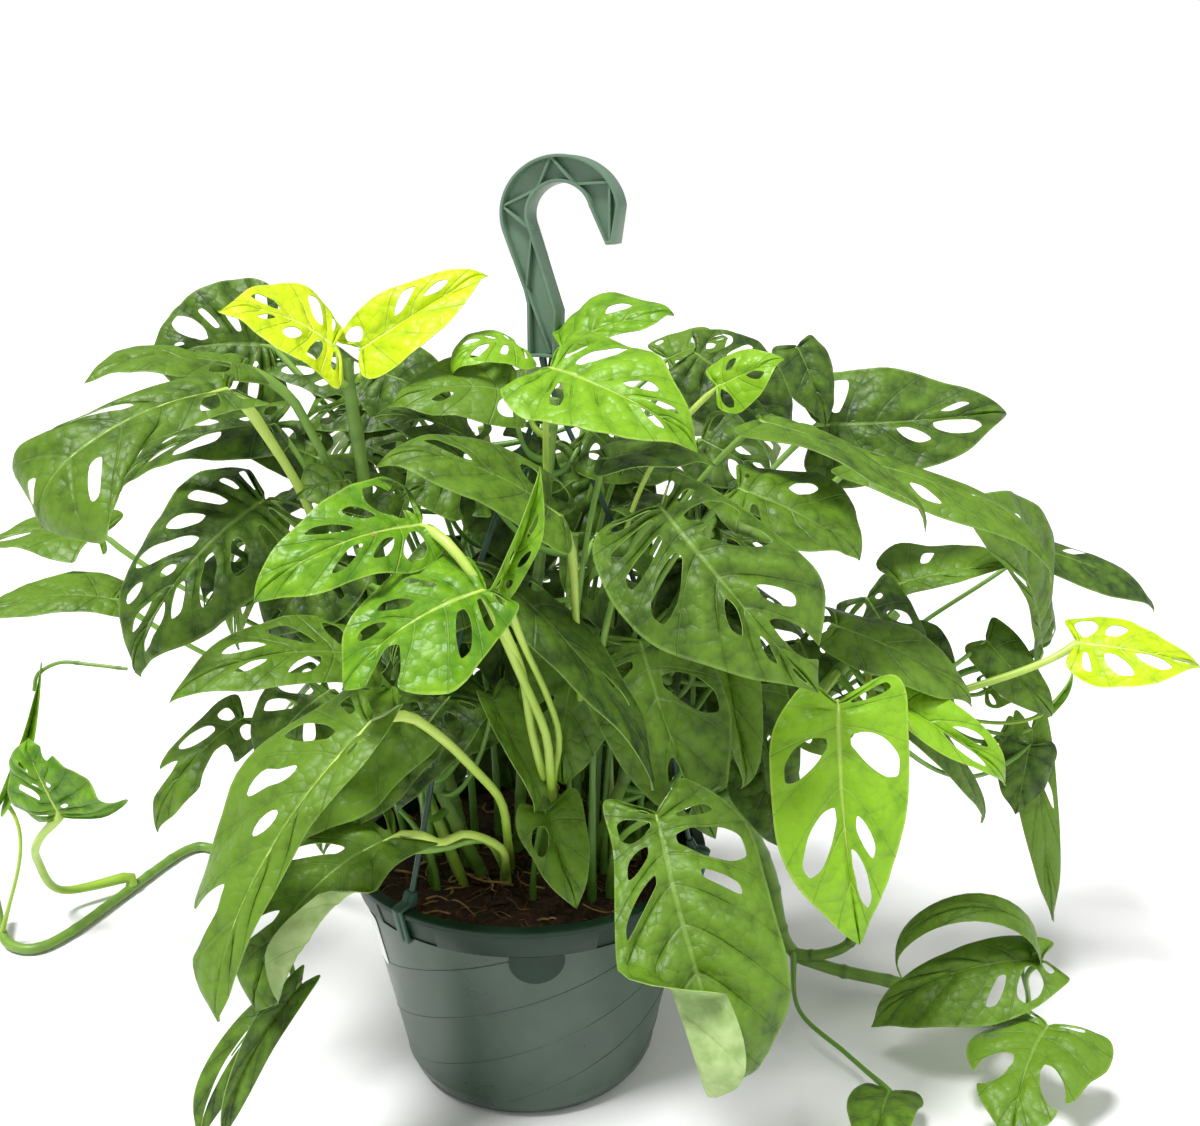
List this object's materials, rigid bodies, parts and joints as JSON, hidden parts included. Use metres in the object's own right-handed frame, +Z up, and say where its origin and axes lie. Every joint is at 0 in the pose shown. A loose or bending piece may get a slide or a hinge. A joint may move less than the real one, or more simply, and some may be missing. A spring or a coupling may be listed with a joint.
{
  "type": "potted monstera adansonii",
  "caption": "Trailing aroid house plant with windowed leaves, in a round nursery pot with a plastic hanger hook.",
  "frame": {"origin": "centre of the pot's foot, on the surface it stands on", "axes": "+Z up; the pictured front faces -Y; +X to the viewer's right"},
  "size_m": [0.9666, 0.5409, 0.636],
  "materials": {
    "pot_plastic": "dark green moulded polypropylene, satin",
    "label_paper": "blank white sticker",
    "potting_mix": "damp bark and coir mix",
    "hanger_plastic": "grey-green moulded plastic, satin",
    "stem": "smooth green stem with brown nodes",
    "leaf_mature": "semi-gloss dark green leaf with paler veins",
    "leaf_young": "glossy bright green leaf",
    "leaf_new": "glossy yellow-green new leaf"
  },
  "bodies": {
    "root": {"pot": "pot_plastic", "label": "label_paper", "soil": "potting_mix", "hanger_hook": "hanger_plastic", "strand_front_left": "hanger_plastic", "strand_right": "hanger_plastic", "strand_back": "hanger_plastic", "stem_crown_left": "stem", "stem_crown_centre": "stem", "stem_right": "stem", "stem_back_right": "stem", "stem_trail_right": "stem", "stem_trail_left": "stem", "leaf_crown_left": "leaf_new", "leaf_crown_left_rear": "leaf_new", "leaf_rear_left_top": "leaf_mature", "leaf_left_high": "leaf_mature", "leaf_left_front_high": "leaf_mature", "leaf_left_edge": "leaf_mature", "leaf_left_big": "leaf_mature", "leaf_front_left_bright": "leaf_young", "leaf_front_centre_bright": "leaf_young", "leaf_new_centre": "leaf_young", "leaf_front_left_long": "leaf_mature", "leaf_left_mid": "leaf_mature", "leaf_rim_left": "leaf_mature", "leaf_rim_left_low": "leaf_mature", "leaf_rim_centre": "leaf_mature", "leaf_front_right_big": "leaf_mature", "leaf_right_bright": "leaf_young", "leaf_front_big": "leaf_mature", "leaf_crown_right": "leaf_young", "leaf_crown_front": "leaf_young", "leaf_rear_right_top": "leaf_mature", "leaf_right_far": "leaf_mature", "leaf_centre_edge": "leaf_mature", "leaf_right_light_edge": "leaf_mature", "leaf_right_mid_high": "leaf_mature", "leaf_right_long": "leaf_mature", "leaf_right_arch": "leaf_young", "leaf_right_yellow": "leaf_new", "leaf_right_far_low": "leaf_mature", "leaf_right_folded": "leaf_young", "leaf_right_dark_long": "leaf_mature", "leaf_right_hanging": "leaf_mature", "leaf_trail_right_left": "leaf_mature", "leaf_trail_right_end": "leaf_mature", "leaf_trail_right_front": "leaf_mature", "leaf_trail_left": "leaf_mature", "leaf_trail_left_new": "leaf_young", "leaf_centre_long": "leaf_mature", "leaf_centre_round": "leaf_mature", "leaf_centre_right": "leaf_mature", "leaf_centre_flat": "leaf_mature", "leaf_crown_under": "leaf_mature", "leaf_back_left_high": "leaf_mature", "leaf_back_high": "leaf_mature", "leaf_back_right_high": "leaf_mature", "leaf_back_mid": "leaf_mature", "leaf_back_right_mid": "leaf_mature"}
  },
  "joints": []
}
